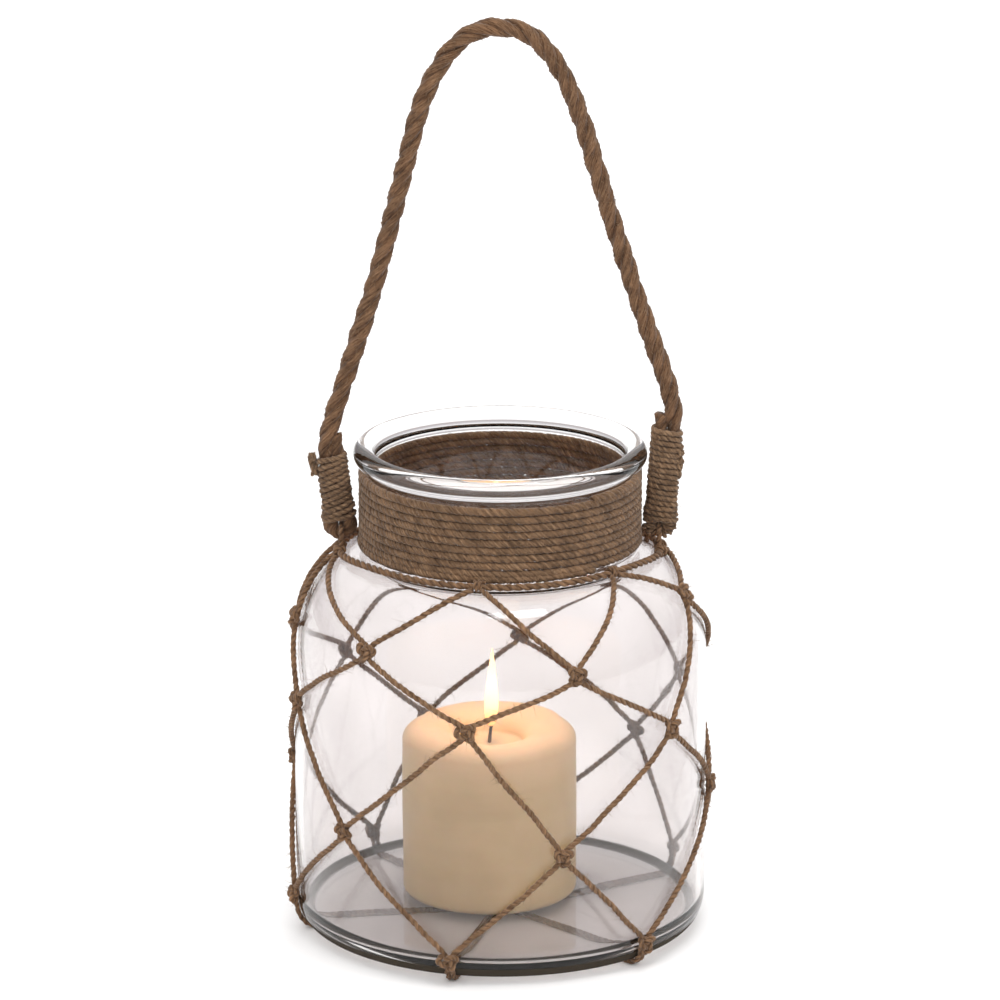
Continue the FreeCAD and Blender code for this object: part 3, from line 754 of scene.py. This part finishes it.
def makeHoop(name, side):
    # The loop that the rope's eye hangs on: up from the collar, half round above the pivot
    # and down again, with two coils that tie it to the collar.
    reach = handle["eyeBend"]
    t = np.linspace(0, 1, 40)
    low, _ = onGlass(90 * side, collarReach(90.0), net["collarCord"])
    up = np.linspace(float(low[2]), handle["pivotZ"], 20)[:-1]
    a = math.pi * t
    y = np.concatenate([0 * up - reach, -reach * np.cos(a), 0 * up + reach])
    z = np.concatenate([up, handle["pivotZ"] + reach * np.sin(a), up[::-1]])
    path = resample(spots(side * handle["pivotX"], y, z), 0.4 * mm)[0]
    parts = plyCord(path, np.array([float(side), 0, 0]), net["cord"] * 0.95, 2, 5.5 * mm, 8, seed=60 + side)
    for shift in (-3.4, 3.4):
        parts += coilAround(90 * side + shift, 1.8, 3.2 * mm, 1.05 * mm, 70 + side)
    makePiece("handle_hoop_" + name, parts, *netJute, ["collar_loop_" + name])


def strandPath(column, side):
    # One strand: straight in (angle, distance down the glass) from knot to knot, with a little
    # slack between them, softened by a running mean.
    shift = (side + 1) // 2
    index = column + shift
    hitch = hitchAngles[index % columnCount] + 360 * (index // columnCount)
    keys = [(hitch - side * 1.8, float(collarReach(hitch)) + 1.5 * mm)]
    for row, place, lean in zip(knotRows, (column, index) * 2, (side, -side) * 2):
        angle, reach = knotSpot(row, place)
        beside = lean * math.degrees(1.2 * mm / bodyRadius)
        keys += [(angle + beside, reach - 2.6 * mm), (angle + beside, reach + 2.6 * mm)]
    keys = np.array(keys)
    s = lengthAlong(onGlass(keys[:, 0], keys[:, 1], 0.0)[0])
    t = np.linspace(0, s[-1], int(s[-1] / net["step"]))
    angle, reach = np.interp(t, s, keys[:, 0]), np.interp(t, s, keys[:, 1])
    knotPlaces = s[1:].reshape(-1, 2).mean(axis=1)
    clear = np.clip(np.abs(t[:, None] - knotPlaces).min(axis=1) / (14 * mm), 0, 1)
    seed = 100 + 2 * column + shift
    angle = angle + np.degrees(clear * drift(t, seed, net["slack"], 46 * mm) / bodyRadius)
    reach = reach + clear * drift(t, seed + 50, net["slack"], 60 * mm)
    window = np.ones(9) / 9
    soft = lambda v: np.convolve(np.pad(v, 4, mode="edge"), window, mode="valid")
    path, out = onGlass(soft(angle), soft(reach), net["cord"] + 0.12 * mm)
    return path, out, seed


def makeNet():
    for column in range(columnCount):
        for side in (-1, 1):
            number = 2 * column + (side + 3) // 2
            path, out, seed = strandPath(column, side)
            parts = plyCord(path, out, net["cord"], 2, net["lay"], 8, seed=seed, thick=0.71)
            addHair("jar", path, out, net["cord"], 1500, seed + 400)
            name = "net_strand_%02d" % number
            makePiece(name, parts, *netJute, ["net_cord_%02d" % number])


def knotPart(spot, out, wide, tall, deep, turn, seed, radius=1.35 * mm):
    # An overhand knot: the closed line (sin t + 2 sin 2t, cos t - 2 cos 2t, -sin 3t), scaled,
    # and turned to face out of its surface.
    t = np.linspace(0, tau, 84, endpoint=False)
    flat = spots(np.sin(t) + 2 * np.sin(2 * t), np.cos(t) - 2 * np.cos(2 * t), -np.sin(3 * t))
    spin = np.array([[math.cos(turn), -math.sin(turn), 0], [math.sin(turn), math.cos(turn), 0], [0, 0, 1]])
    flat = flat @ spin.T * [wide / 3, tall / 3, deep]
    level = unit(np.cross([0.0, 0.0, 1.0], out))
    up = np.cross(out, level)
    path = spot + flat[:, :1] * level + flat[:, 1:2] * up + flat[:, 2:] * out
    away = path - spot + 0.5 * mm * out
    return plyCord(path, away, radius, 2, 5.2 * mm, 8, loop=True, seed=seed), path, away


def makeKnots():
    rng = np.random.default_rng(15)
    for row in knotRows:
        parts = []
        for i in range(columnCount):
            angle, reach = knotSpot(row, i)
            spot, out = onGlass(angle, reach, 2.35 * mm)
            wide, tall = rng.uniform(3.7, 4.2) * mm, rng.uniform(3.3, 3.7) * mm
            made, path, away = knotPart(spot, out, wide, tall, 1.05 * mm, rng.uniform(-0.5, 0.5), 200 + i)
            parts += made
            addHair("jar", path, away, 1.2 * mm, 900, 500 + i, 2.4 * mm, loop=True)
        makePiece("net_tied_" + row, parts, *netJute, ["net_knots_" + row])


makeCollar()
makeHitches()
makeHoop("left", -1)
makeHoop("right", 1)
makeNet()
makeKnots()
print("net made")


foot = {"level": 1.1 * mm, "flat": 1.15 * mm, "knotRadius": 7.0 * mm, "inner": 6.6 * mm}


def pressed(parts):
    # cords flattened on the table: no point is lower than 0
    for part in parts:
        part["points"][:, 2] = np.maximum(part["points"][:, 2], 0.0)
    return parts


def makeFootCords():
    # the strands' tails run from each foot knot round the heel and straight to the middle
    parts = []
    for i in range(columnCount):
        angle, reach = knotSpot("foot", i)
        for side in (-1, 1):
            beside = angle + side * math.degrees(1.25 * mm / bodyRadius)
            middle = math.radians(360 / columnCount * (i - 1) + side * 90 / columnCount - 15)
            down = np.linspace(reach + 2 * mm, float(profileLength[-3]), 24)
            top, _ = onGlass(beside, down, 1.25 * mm)
            top[:, 2] = np.maximum(top[:, 2], foot["level"])
            inner = turned(foot["inner"], middle, foot["level"])
            start = top[-1] * [1, 1, 0] + [0, 0, foot["level"]]
            run = start + np.linspace(0.03, 1, 60)[:, None] * (inner - start)
            path = resample(np.vstack([top, run]), 0.6 * mm)[0]
            outward = unit(path * [1, 1, 0]) * 0.3 + [0, 0, -1]
            parts += pressed(plyCord(path, outward, foot["flat"], 2, net["lay"], 7, seed=300 + 2 * i + side))
    makePiece("foot_strands", parts, *netJute, ["base_cords"])


def makeFootKnot():
    # a flat spiral of cord: the radius grows by one cord per turn, over a second, smaller layer
    parts = []
    for level, turns, outer in ((foot["level"], 2.6, foot["knotRadius"]), (3.0 * mm, 1.4, 4.4 * mm)):
        a = np.linspace(0, tau * turns, int(70 * turns))
        r = outer - 2.25 * mm * (a / tau)
        path = turned(r, a, level)
        parts += pressed(plyCord(path, np.array([0, 0, 1.0]), foot["flat"], 2, 5.5 * mm, 8, seed=9))
    makePiece("foot_knot_coil", parts, *netJute, ["base_knot"])


makeFootCords()
makeFootKnot()


twine = {"cord": 1.2 * mm, "lay": 5.4 * mm, "step": 0.42 * mm}
twineJute = (juteTwine, "handle", "twine_jute")


def serveEye(line):
    # twine round the right eye's rope: middle = line + reach * (cos a * side + sin a * across)
    dense = resample(line, 0.12 * mm)[0]
    s = lengthAlong(dense)
    _, side, across = cordFrame(dense, front)
    a = tau * s / (1.9 * mm)
    out = np.cos(a)[:, None] * side + np.sin(a)[:, None] * across
    far = np.abs(s - s[np.argmin(dense[:, 2])])
    reach = 1.9 * mm + 0.8 * mm * smooth(far, 2.5 * mm, 5 * mm)
    path, out = resample(dense + reach[:, None] * out, twine["step"], out)
    return plyCord(path, out, 1.0 * mm, 2, twine["lay"], 7, seed=131, rough=0.05)


def makeEyes():
    # The rope's turned-back ends: down the outer leg, round the eye and up the inner leg, which
    # stand apart by eye + (leg - eye) * smooth step of height.
    parts, bend = [], handle["eyeBend"]
    spread = lambda w: bend + (handle["legOut"] - bend) * smooth(w, bend, 11 * mm)
    a = np.linspace(0, math.pi, 40)[1:-1]
    for name, one in lashings.items():
        outer = np.linspace(one["top"] - 1 * mm, bend, 60)
        inner = np.linspace(bend, one["top"] + one["tail"], 66)
        u = np.concatenate([spread(outer), bend * np.cos(a), -spread(inner)])
        up = np.concatenate([outer, bend - bend * np.sin(a), inner])
        path = resample(legPoint(name, u, up), 0.6 * mm)[0]
        s = lengthAlong(path)
        tail = smooth(s, s[-1] - one["tail"] - 3 * mm, s[-1])
        far = np.abs(s - s[np.argmin(path[:, 2])])
        bulge = smooth(far, 2.5 * mm, 5 * mm) * (1 - smooth(far, 9 * mm, 14 * mm))
        radius = handle["eyeRadius"] * (1 + 0.12 * tail) + 0.5 * mm * bulge
        if name == "right":
            radius = radius - 1.2 * mm * (1 - smooth(far, 10 * mm, 14 * mm))
            serving = serveEye(path[far < 15 * mm])
        parts += plyCord(path, front, radius, 3, 19 * mm, 16, seed=80, ridges=5, ridge=0.05)
        addHair("handle", path, front, radius, 1600, 81, 1.8 * mm)
    eyes = makePiece("rope_eyes", parts, juteRope, "handle", "rope_jute")
    makePiece("twine_eye", serving, *twineJute)
    return eyes


def turnsPath(name):
    # Twine round the doubled rope: a helix on an oval, (wide * cos a, deep * sin a), that rises
    # one cord per turn. Each turn leans by a slant, and its size drifts.
    one = lashings[name]
    start, top = one["start"], one["top"]
    pitch = 2.0 * twine["cord"]
    turns = (top - start) / pitch
    a = np.linspace(0, tau * turns, int(turns * 40 * mm / twine["step"]))
    w = start + pitch * a / tau
    neck = 1 - smooth(w, start, start + 9 * mm)
    wide = handle["legOut"] + handle["legRadius"] + 0.25 * mm + 0.9 * mm * neck
    wide = wide + drift(a, 90 + one["side"], 0.28 * mm, 9.0)
    deep = 3.9 * mm + drift(a, 95 + one["side"], 0.22 * mm, 7.0)
    power = 0.8  # under 1 makes the oval a little boxy
    c, d = np.cos(a), np.sin(a)
    u = wide * np.sign(c) * np.abs(c) ** power
    y = -deep * np.sign(d) * np.abs(d) ** power
    fade = smooth(w, start, start + 4 * mm) * (1 - smooth(w, top - 5 * mm, top))
    w = w - one["slant"] * fade * c + drift(a, 99, 0.16 * mm, 4.1)
    path = legPoint(name, u, w, y)
    centre = legPoint(name, 0 * u, w)
    return resample(path, twine["step"], path - centre)


def makeLashing(name):
    path, out = turnsPath(name)
    parts = plyCord(path, out, twine["cord"] * 1.04, 2, twine["lay"], 8, seed=120, thick=0.74, rough=0.07)
    addHair("handle", path, out, twine["cord"], 1300, 121, 2.0 * mm)
    makePiece("twine_" + name, parts, *twineJute, ["lashing_" + name])


finishKnots = {  # (out from the lashing's side, below its top, half width, half height, turn), in mm
    "left": [(0.7, 0.6, 1.6, 3.0, 0.2), (0.4, 5.6, 1.5, 2.4, 1.3)],
    "right": [(-1.4, 9.5, 1.5, 2.4, 0.4), (-1.1, 14.5, 1.6, 2.5, 1.2), (-1.5, 19.0, 1.4, 2.0, 0.1)],
}


def makeTwineKnot(name):
    # small overhand knots against the lashing's outer side
    one, parts = lashings[name], []
    facing = unit(np.array([one["side"] * 0.94, -0.34, 0.0]))
    for i, (outBy, below, wide, tall, turn) in enumerate(finishKnots[name]):
        u = handle["legOut"] + handle["legRadius"] + twine["cord"] * 1.6 + outBy * mm
        spot = legPoint(name, u, one["top"] - below * mm, -1.2 * mm)
        made, path, away = knotPart(
            spot, facing, wide * mm, tall * mm, 0.8 * mm, turn, 140 + i, 1.05 * mm
        )
        parts += made
        addHair("handle", path, away, 1.1 * mm, 2200, 145 + i, 2.2 * mm, loop=True)
    makePiece("twine_knot_" + name, parts, *twineJute, ["lashing_knot_" + name])


ropeEyes = makeEyes()
for lashingName in lashings:
    makeLashing(lashingName)
    makeTwineKnot(lashingName)
print("handle made")


candle = {
    "edge": 3.2 * mm,
    "brow": (8.0 * mm, 6.0 * mm),  # width and height of the rounded top edge
    "dishRim": 9.0 * mm,  # width of the lip round the melted dish
    "dishDepth": 8.5 * mm,
    "pool": 15 * mm,
    "sag": 1.3 * mm,
    "lump": 0.12 * mm,
    "columns": 160,
}
lowWax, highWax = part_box("candle_wax")
waxX, waxY = (float(lowWax[i] + highWax[i]) / 2 for i in (0, 1))
waxRadius, waxLow, waxTop = float(highWax[0] - lowWax[0]) / 2, float(lowWax[2]), float(highWax[2])


def makeCandle():
    # The pillar: a rounded profile turned round its own axis. The dish's lip sags unevenly, by
    # sag * sin waves of the angle, and the side is slightly lumpy.
    edge, rim, low = candle["edge"], candle["dishRim"], waxTop - candle["dishDepth"]
    (wide, tall), pool, dish = candle["brow"], candle["pool"], waxRadius - rim
    section = np.vstack([
        [[0.3 * mm, waxLow]],
        [[r, waxLow] for r in np.linspace(6 * mm, waxRadius - edge, 5)],
        bow((waxRadius - edge, waxLow + edge), edge, edge, -80, 0, 9),
        [[waxRadius, z] for z in np.linspace(waxLow + edge, waxTop - tall, 30)[1:-1]],
        bow((waxRadius - wide, waxTop - tall), wide, tall, 0, 86, 16),
        bow((dish, low), dish - pool, candle["dishDepth"] - 0.4 * mm, 94, 178, 20),
        [[r, low] for r in np.linspace(pool - 1 * mm, 2 * mm, 7)],
        [[0.3 * mm, low]],
    ])
    section = section[np.concatenate([[True], np.linalg.norm(np.diff(section, axis=0), axis=1) > 1e-6])]
    a = np.linspace(0, tau, candle["columns"], endpoint=False)
    r, z = section[:, :1], section[:, 1:]
    lip = np.clip((z - low) / (waxTop - low), 0, 1) * (r > pool)
    wave = 0.5 + 0.25 * np.sin(2 * a + 0.7) + 0.15 * np.sin(3 * a + 2) + 0.1 * np.sin(7 * a)
    z = z - candle["sag"] * lip * wave
    lump = candle["lump"] * (np.sin(2 * a + 90 * z) + np.sin(5 * a - 60 * z + 1) - 2)
    r = r + lump * (r > pool)
    part = gridPart(turned(r, a, z) + [waxX, waxY, 0])
    makePiece("candle_body", [part], makeWax(waxTop), "candle", "wax", ["candle_wax"])


wick = {"radius": 0.9 * mm, "height": 13 * mm, "sunk": 4 * mm, "lean": 2.0 * mm}
poolZ = waxTop - candle["dishDepth"]


def makeWickPiece():
    t = np.linspace(0, 1, 60)
    low = poolZ - wick["sunk"]
    path = spots(waxX + wick["lean"] * t**2.5, waxY, low + (wick["height"] + wick["sunk"]) * t)
    radius = wick["radius"] * (1 - 0.25 * t)
    parts = plyCord(path, front, radius, 3, 4 * mm, 8, seed=170)
    material = makeWick(poolZ, poolZ + wick["height"])
    makePiece("wick_braid", parts, material, "candle", "wick", ["candle_wick"])


flame = {"base": 7.5 * mm, "height": 35 * mm, "radius": 3.3 * mm, "lean": 0.6 * mm}


def makeFlame():
    # a drop: radius = widest * sin(pi * t^0.55)^0.8 * (1 - 0.25 t), with t from root to tip
    t = np.linspace(0.002, 1, 64)[:, None]
    r = flame["radius"] * np.sin(math.pi * t**0.55).clip(0, 1) ** 0.8 * (1 - 0.25 * t) + 0.04 * mm
    a = np.linspace(0, tau, 40, endpoint=False)
    low = poolZ + flame["base"]
    high = low + flame["height"]
    x = waxX + wick["lean"] * 0.35 + flame["lean"] * t + r * np.sin(a)
    part = gridPart(spots(x, waxY - r * np.cos(a), low + flame["height"] * t))
    makePiece("flame", [part], makeFlameMaterial(low, high), "candle", "wick")
    lamp = bpy.data.lights.new("flame_lamp", "POINT")
    lamp.energy, lamp.color, lamp.shadow_soft_size = 0.07, (1.0, 0.56, 0.32), 5 * mm
    glow = addObject("flame_lamp", lamp)
    glow.location = (waxX, waxY, high + 4 * mm)
    glow.visible_camera = glow.visible_glossy = glow.visible_transmission = False


makeCandle()
makeWickPiece()
makeFlame()
print("candle made")


fuzz = {"width": 0.085 * mm, "curl": 0.6, "most": 7000}


def makeFuzzPiece(body, name):
    # each fibre is a thin three-sided spike: root + length * (t * out + curl * t^2 * sideways)
    roots, outs, alongs, sizes = (np.concatenate(part) for part in zip(*hairRoots[body]))
    rng = np.random.default_rng(77)
    if len(roots) > fuzz["most"]:
        keep = rng.choice(len(roots), fuzz["most"], replace=False)
        roots, outs, alongs, sizes = roots[keep], outs[keep], alongs[keep], sizes[keep]
    count = len(roots)
    sideways = unit(alongs * rng.normal(0, 1, (count, 1)) + 0.5 * rng.normal(0, 1, (count, 3)))
    lean = unit(outs * rng.uniform(0.35, 1, (count, 1)) + alongs * rng.normal(0, 0.9, (count, 1)))
    t = np.array([0, 0.33, 0.66, 1.0])
    bend = fuzz["curl"] * rng.normal(0, 1, (count, 1))
    line = roots[:, None] + sizes[:, None, None] * (
        t[None, :, None] * lean[:, None] + (t**2)[None, :, None] * (bend * sideways)[:, None]
    )
    first = unit(np.cross(lean, sideways))[:, None, None]
    second = unit(np.cross(lean, first[:, 0, 0]))[:, None, None]
    thin = fuzz["width"] * np.array([1, 0.9, 0.65, 0.15])
    corner = np.array([0, tau / 3, 2 * tau / 3])[:, None]
    ring = np.cos(corner) * first + np.sin(corner) * second
    points = line[:, :, None] + thin[None, :, None, None] * ring
    quads = gridQuads(4, 3)[0]
    every = (np.arange(count) * 12)[:, None, None]
    ends = np.array([[0, 2, 1], [9, 10, 11]])
    part = {
        "points": points.reshape(-1, 3),
        "quads": (quads[None] + every).reshape(-1, 4),
        "tris": (ends[None] + every).reshape(-1, 3),
        "uv": np.zeros((4 * len(quads) * count, 2)),
        "paintedGrooveShade": np.zeros(12 * count),
    }
    slot = "net_jute" if body == "jar" else "rope_jute"
    makePiece(name, [part], fuzzMaterial, body, slot)


makeFuzzPiece("jar", "net_fuzz")
makeFuzzPiece("handle", "rope_fuzz")
print("fibres made")


light = {
    "floor": (0.94, 0.94, 0.94),
    "floorHalf": 9.0,
    "sides": (0.52, 0.50, 0.49),
    "sky": 1.08,
    "edge": (0.50, 0.455, 0.45),  # the dim room that the glass's edges show
}
# each soft box: place, aim, size, power, and whether the glass mirrors it
boxes = {
    "key_box": ((-1.1, -1.5, 1.9), (0, 0, 0.15), (0.9, 1.3), 13, False),
    "fill_box": ((1.7, -0.7, 1.3), (0, 0, 0.15), (0.5, 1.4), 8, False),
    "back_box": ((0.3, 2.4, 2.2), (0, 0, 0.15), (1.8, 0.9), 30, False),
    "top_box": ((0.22, -0.42, 1.9), (0, 0, 0.2), (0.75, 0.30), 7, True),
}


def makeStage():
    mesh = bpy.data.meshes.new("floor")
    half = light["floorHalf"]
    corners = [(-half, -half, 0), (half, -half, 0), (half, half, 0), (-half, half, 0)]
    mesh.from_pydata(corners, [], [(0, 1, 2, 3)])
    material, tree, shader, _, _ = startMaterial("floor_paint")
    feed(tree, shader, {"Base Color": light["floor"], "Roughness": 0.9, "Specular IOR Level": 0.1})
    mesh.materials.append(material)
    addObject("floor", mesh)


def areaLight(name, place, aim, size, energy, seen):
    lamp = bpy.data.lights.new(name, "AREA")
    lamp.shape, lamp.size, lamp.size_y, lamp.energy = "RECTANGLE", size[0], size[1], energy
    box = addObject(name, lamp)
    box.location = place
    box.visible_glossy = box.visible_transmission = seen
    x, y, z = np.array(aim) - np.array(place)
    box.rotation_euler = (math.atan2(math.hypot(x, y), -z), 0, math.atan2(y, x) - math.pi / 2)


def makeLights():
    # a white room that dims towards its lower sides, and soft boxes
    world = bpy.data.worlds.new("studio")
    bpy.context.scene.world = world
    world.use_nodes = True
    tree = world.node_tree
    split = addNode(tree, "SeparateXYZ", {0: addNode(tree, "TexCoord").outputs["Generated"]})
    sky = ramp(tree, split.outputs["Z"], [
        (0.0, light["edge"]), (0.12, (0.62, 0.60, 0.63)),
        (0.34, (0.98, 0.98, 0.98)), (1.0, (1.08, 1.08, 1.08)),
    ])
    beside = addNode(tree, "Math", {0: split.outputs["X"]}, operation="ABSOLUTE").outputs[0]
    room = shade(tree, sky, beside, [(0.55, (1, 1, 1)), (0.88, light["sides"])])
    feed(tree, tree.nodes["Background"], {0: room, 1: light["sky"]})
    for name, box in boxes.items():
        areaLight(name, *box)


makeStage()
makeLights()
bpy.context.scene.view_settings.view_transform = "Standard"
